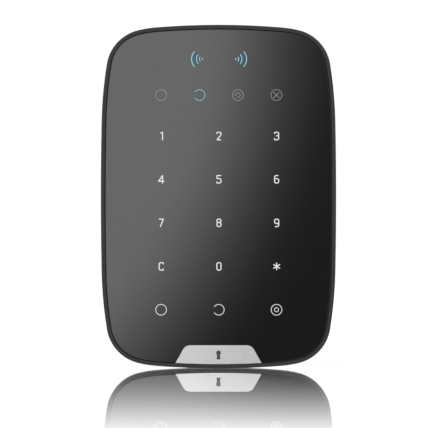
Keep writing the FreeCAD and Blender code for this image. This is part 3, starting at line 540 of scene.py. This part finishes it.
dress("key_lights", sheet_finish("light_resin", (0.82, 0.80, 0.62), 0.15, 0.3 * MM, 0.05))
print("boards, films and small parts dressed")

# %% [markdown]
# ## Battery cells
# A cell has a printed sleeve with a coloured shoulder at its plus end, and bare nickel
# ends. Cells lie head to tail, so each sleeve is told where its plus end is. The print is
# two plain bands with a thin line between them, read from the height along the cell.

# %% Battery sleeves
def cell_sleeve(name, low, high, plus_up):
    material, tree, shader = new_material(name)
    where = place_of(tree)
    axes = add(tree, "ShaderNodeSeparateXYZ")
    join(tree, where, axes.inputs["Vector"])
    start, end = (low, high) if plus_up else (high, low)
    along = between(tree, axes.outputs["Z"], 0.0, 1.0, start, end)
    bands = add(tree, "ShaderNodeValToRGB")
    bands.color_ramp.interpolation = "CONSTANT"
    stops = ((0.0, (0.60, 0.59, 0.56)), (0.018, (0.055, 0.060, 0.070)), (0.700, (0.50, 0.50, 0.50)),
             (0.715, (0.45, 0.22, 0.07)), (0.955, (0.62, 0.61, 0.58)))
    ramp = bands.color_ramp.elements
    while len(ramp) < len(stops):
        ramp.new(0.5)
    for element, (position, colour) in zip(ramp, stops):
        element.position = position
        element.color = (*colour, 1.0)
    join(tree, along, bands.inputs["Fac"])
    join(tree, bands.outputs["Color"], shader.inputs["Base Color"])
    scuffs = noise(tree, place_of(tree, scale=(1, 1, 0.1)), 0.6 * MM, 4.0)
    join(tree, between(tree, scuffs, 0.24, 0.42), shader.inputs["Roughness"])
    shader.inputs["Metallic"].default_value = 0.6
    bump(tree, shader, scuffs, 0.006 * MM)
    return material


for index in range(4):
    part = "battery_cell_%d" % (index + 1)
    low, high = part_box(part)
    dress(part, cell_sleeve("cell_sleeve_%d" % (index + 1), low.z, high.z, index % 2 == 0))
print("cells dressed")

# %% [markdown]
# ## Lit marks on the face
# Digits, rings and waves glow through the panel. Each mark is a handful of pen strokes, so
# it is drawn as one: a line along the middle of the stroke, rounded at its corners, gets
# a thin round profile, becomes a mesh, and is pressed flat onto the panel. Built-in text
# would be wider and softer than these narrow technical figures, and drawing the strokes
# keeps their weight the same everywhere.

# %% Pen strokes
STROKE_DEPTH = 0.012 * MM
GLOW_LIFT = -0.003 * MM
panel_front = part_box("touch_panel")[0].y


def rounded(points, radius, closed=False, steps=6):
    """The corner points of a pen path with each corner turned into a short arc."""
    if len(points) < 3:
        return points
    count = len(points)
    path = [] if closed else [points[0]]
    inner = range(count) if closed else range(1, count - 1)
    for i in inner:
        (ax, az), (bx, bz), (cx, cz) = points[i - 1], points[i], points[(i + 1) % count]
        back = math.hypot(ax - bx, az - bz)
        on = math.hypot(cx - bx, cz - bz)
        cut = min(radius, back / 2, on / 2)
        start = (bx + (ax - bx) * cut / back, bz + (az - bz) * cut / back)
        end = (bx + (cx - bx) * cut / on, bz + (cz - bz) * cut / on)
        for k in range(steps + 1):
            t = k / steps
            x = (1 - t) ** 2 * start[0] + 2 * t * (1 - t) * bx + t * t * end[0]
            z = (1 - t) ** 2 * start[1] + 2 * t * (1 - t) * bz + t * t * end[1]
            path.append((x, z))
    return path if closed else path + [points[-1]]


def arc(radius, start, end, centre=(0.0, 0.0), steps=40):
    """Points of a circular stroke, with angles in degrees from the right, anticlockwise."""
    return [(centre[0] + radius * math.cos(math.radians(start + (end - start) * k / steps)),
             centre[1] + radius * math.sin(math.radians(start + (end - start) * k / steps)))
            for k in range(steps + 1)]


def draw(name, strokes, place, width, material, lift=0.0, surface=None, body="keypad"):
    """One mark: strokes are (points in mm, closed) about place, and width is the pen's.

    A mark is pressed onto the panel, or onto surface when that is given. A negative lift
    sinks it, so that a glow lies below its own sign.
    """
    curve = bpy.data.curves.new(name, "CURVE")
    curve.dimensions = "3D"
    curve.bevel_depth = width / 2
    curve.bevel_resolution = 2
    curve.use_fill_caps = True
    for points, closed in strokes:
        spline = curve.splines.new("POLY")
        spline.points.add(len(points) - 1)
        spline.use_cyclic_u = closed
        for dot, (x, z) in zip(spline.points, points):
            dot.co = (x * MM, 0.0, z * MM, 1.0)
    mark = bpy.data.objects.new(name, curve)
    bpy.context.scene.collection.objects.link(mark)
    bpy.ops.object.select_all(action="DESELECT")
    mark.select_set(True)
    bpy.context.view_layer.objects.active = mark
    bpy.ops.object.convert(target="MESH")
    mark.scale = (1.0, 2 * STROKE_DEPTH / width, 1.0)
    mark.location = (place[0] * MM, panel_front - lift if surface is None else surface, place[1] * MM)
    bpy.ops.object.transform_apply(location=True, rotation=False, scale=True)
    mark.data.materials.clear()
    mark.data.materials.append(material)
    bpy.ops.object.shade_smooth()
    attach(mark, body)


print("pen ready, strokes stand %.3f mm proud" % (STROKE_DEPTH / MM))

# %% [markdown]
# The figures are designed on a box 2 mm wide and 3.6 mm high between stroke centres.
# Corner radii are large, as on road-sign lettering, so a zero is a tall oval with straight
# sides, and six and nine are the same figure turned half round. Even a sharp corner gets
# a small radius, because a pen line that turns on one point grows thin there. Upright
# strokes that end at the foot run on a little, so that they reach as far down as the
# curved figures beside them.

# %% Figures
W, H, MID = 0.99, 1.8, 0.17
NUDGE = 0.14
CURL = 0.95
SHARPEST = 0.12


def turned(points):
    return [(-x, -z) for x, z in points]


SIX = [(0.8, H), (-W, H), (-W, -H), (W, -H), (W, MID + 0.15), (-W, MID + 0.15)]
FIGURES = {
    "1": [([(-0.36, 1.32), (0.65, H + 0.1), (0.65, -H - 0.2)], False, 0.0)],
    "2": [([(-W, 1.0), (-W, H), (W, H), (W, 0.55), (-W, -H)], False, CURL),
          ([(-W, -H), (W, -H)], False, 0.0)],
    "3": [([(-W, 1.0), (-W, H), (W, H), (W, MID), (-0.3, MID)], False, CURL),
          ([(-0.3, MID), (W, MID), (W, -H), (-W, -H), (-W, -0.95)], False, CURL)],
    "4": [([(0.65, -H - 0.2), (0.65, H), (-1.27, -0.95), (1.43, -0.95)], False, 0.0)],
    "5": [([(1.0, H), (-0.95, H), (-0.95, 0.35)], False, 0.0),
          ([(-0.95, 0.35), (W, 0.35), (W, -H), (-W, -H), (-W, -1.05)], False, CURL)],
    "6": [(SIX, False, CURL)],
    "7": [([(-1.14, H), (1.0, H), (-0.44, -H - 0.15)], False, 0.0)],
    "8": [([(-0.95, H), (0.95, H), (0.95, MID), (-0.95, MID)], True, 0.8),
          ([(-W, MID), (W, MID), (W, -H), (-W, -H)], True, CURL)],
    "9": [(turned(SIX), False, CURL)],
    "0": [([(-W, H), (W, H), (W, -H), (-W, -H)], True, CURL)],
    "C": [([(W, 1.0), (W, H), (-W, H), (-W, -H), (W, -H), (W, -1.0)], False, CURL)],
    "star": [([(0, H), (0, -H)], False, 0.0),
             ([(1.6, 0.95), (-1.6, -0.95)], False, 0.0),
             ([(-1.6, 0.95), (1.6, -0.95)], False, 0.0)],
}
KEY_COLUMNS = (-27.7, 0.0, 27.7)
KEY_ROWS = (29.05, 8.3, -12.6, -33.5, -54.3)
FIGURE_WIDTH = 0.50 * MM
FIGURE_NUDGE = 1.5 * NUDGE
lit_white = gloss_black("lit_white", (0.02, 0.02, 0.02), (0.95, 0.95, 0.96), 0.80)
lit_ring = gloss_black("lit_ring", (0.02, 0.02, 0.02), (0.95, 0.95, 0.96), 0.74)

layout = (("1", "2", "3"), ("4", "5", "6"), ("7", "8", "9"), ("C", "0", "star"))
for row, names in zip(KEY_ROWS, layout):
    for column, figure in zip(KEY_COLUMNS, names):
        strokes = [(rounded(points, max(radius, SHARPEST), closed), closed)
                   for points, closed, radius in FIGURES[figure]]
        draw("key_" + figure, strokes, (column + FIGURE_NUDGE, row), FIGURE_WIDTH, lit_white)
print("figures:", sum(len(names) for names in layout))

# %% [markdown]
# The lowest row and the status row are rings: closed, open to the left, and double. The
# status ring that is on glows cyan. The others are grey print that the light does not reach,
# and their grey is painted light, a faint white glow, so they are much dimmer.

# %% Rings
RING_R = 2.57
RING_WIDTH = 0.34 * MM
STATUS_R = 2.60
STATUS_WIDTH = 0.31 * MM
OPEN_ANGLE = 31.0
LAST_STEP = 9.0
STATUS_COLUMNS = (-27.7, -9.2, 9.2, 27.7)
STATUS_ROW = 48.74
# the unlit grey status print is a faint white glow over near black: painted light in place of lit grey ink
status_painted_glow = gloss_black("status_painted_glow", (0.03, 0.03, 0.03), (0.97, 0.97, 0.98), 0.195)
lit_cyan = gloss_black("lit_cyan", (0.01, 0.02, 0.02), (0.50, 0.88, 1.0), 0.68, sheen=0.28)
cyan_halo = gloss_black("cyan_halo", (0.004, 0.006, 0.007), (0.05, 0.75, 1.0), 0.068, sheen=0.31)


def ring(radius):
    """A closed ring: the arc stops one step early, and the stroke closes itself."""
    return (arc(radius, 0, 360 - LAST_STEP), True)


def open_ring(radius):
    """A ring with its gap on the left."""
    return (arc(radius, -180 + OPEN_ANGLE, 180 - OPEN_ANGLE), False)


for column, mark, strokes in ((KEY_COLUMNS[0], "arm", [ring(RING_R)]),
                              (KEY_COLUMNS[1], "disarm", [open_ring(RING_R)]),
                              (KEY_COLUMNS[2], "night", [ring(RING_R), ring(0.99)])):
    draw("key_" + mark, strokes, (column + NUDGE, KEY_ROWS[4]), RING_WIDTH, lit_ring)

CROSS_ARM = 1.35
cross = [([(s * CROSS_ARM, CROSS_ARM), (-s * CROSS_ARM, -CROSS_ARM)], False) for s in (1, -1)]
small_ring = (arc(1.08, -113, 203), False)
for column, mark, strokes in ((STATUS_COLUMNS[0], "armed", [ring(STATUS_R)]),
                              (STATUS_COLUMNS[2], "night", [ring(STATUS_R), small_ring]),
                              (STATUS_COLUMNS[3], "fault", [ring(STATUS_R)] + cross)):
    draw("status_" + mark, strokes, (column + NUDGE, STATUS_ROW), STATUS_WIDTH, status_painted_glow)
off_place = (STATUS_COLUMNS[1] + NUDGE, STATUS_ROW)
draw("status_off_halo", [open_ring(STATUS_R)], off_place, 0.90 * MM, cyan_halo, lift=GLOW_LIFT)
draw("status_off", [open_ring(STATUS_R)], off_place, 0.36 * MM, lit_cyan)
print("rings drawn")

# %% [markdown]
# The card reader's sign is a pair of spreading waves, one each side of the middle: a dot
# and three arcs that grow outwards. The left one is the right one mirrored, which is done
# by adding half a turn to its angles. Light leaks between the arcs, so two arcs of a wide,
# dim pen lie below them. Each arc is given by its radius, how far out it reaches, and half
# the angle that it spans.

# %% Card reader waves
WAVE_X, WAVE_Z = 8.0, 66.0
WAVE_NUDGE = 2 * NUDGE
WAVES = ((1.40, 1.45, 50.0), (3.30, 2.92, 42.0), (5.40, 5.16, 42.0))
HALO = ((2.30, 2.05, 44.0), (4.50, 4.20, 43.0))


def spread_arcs(rows, base):
    """The arcs of one fan that opens towards the angle base."""
    outwards = math.cos(math.radians(base))
    return [(arc(radius, base - half_angle, base + half_angle, (outwards * (reach - radius), 0.0)), False)
            for radius, reach, half_angle in rows]


dot = (arc(0.13, 0, 330, steps=11), True)
for side, base, x in (("right", 0.0, WAVE_X + WAVE_NUDGE), ("left", 180.0, -WAVE_X + WAVE_NUDGE)):
    draw("reader_wave_halo_" + side, spread_arcs(HALO, base), (x, WAVE_Z), 2.3 * MM, cyan_halo,
         lift=GLOW_LIFT)
    draw("reader_wave_" + side, spread_arcs(WAVES, base) + [dot], (x, WAVE_Z), 0.44 * MM, lit_cyan)
print("waves drawn")

# %% [markdown]
# The button on the back switches the keypad on and off, and carries the usual sign for
# that: a ring, open at the top, with a bar in the gap. It is a pad print, so it is drawn
# with the same pen, in a matte ink on the button's flat end, and it moves with the button.

# %% Sign on the power button
button_low, button_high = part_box("power_button")
button_x = (button_low.x + button_high.x) / 2 / MM
button_z = (button_low.z + button_high.z) / 2 / MM
pad_print = sheet_finish("pad_print", (0.75, 0.75, 0.74), 0.6, 0.2 * MM, 0.06)
sign = [(arc(1.25, 125, 415), False), ([(0.0, 0.35), (0.0, 1.6)], False)]
draw("power_sign", sign, (button_x, button_z), 0.32 * MM, pad_print,
     surface=button_high.y, body="power_button")
print("power sign at", [round(v, 2) for v in (button_x, button_z)])
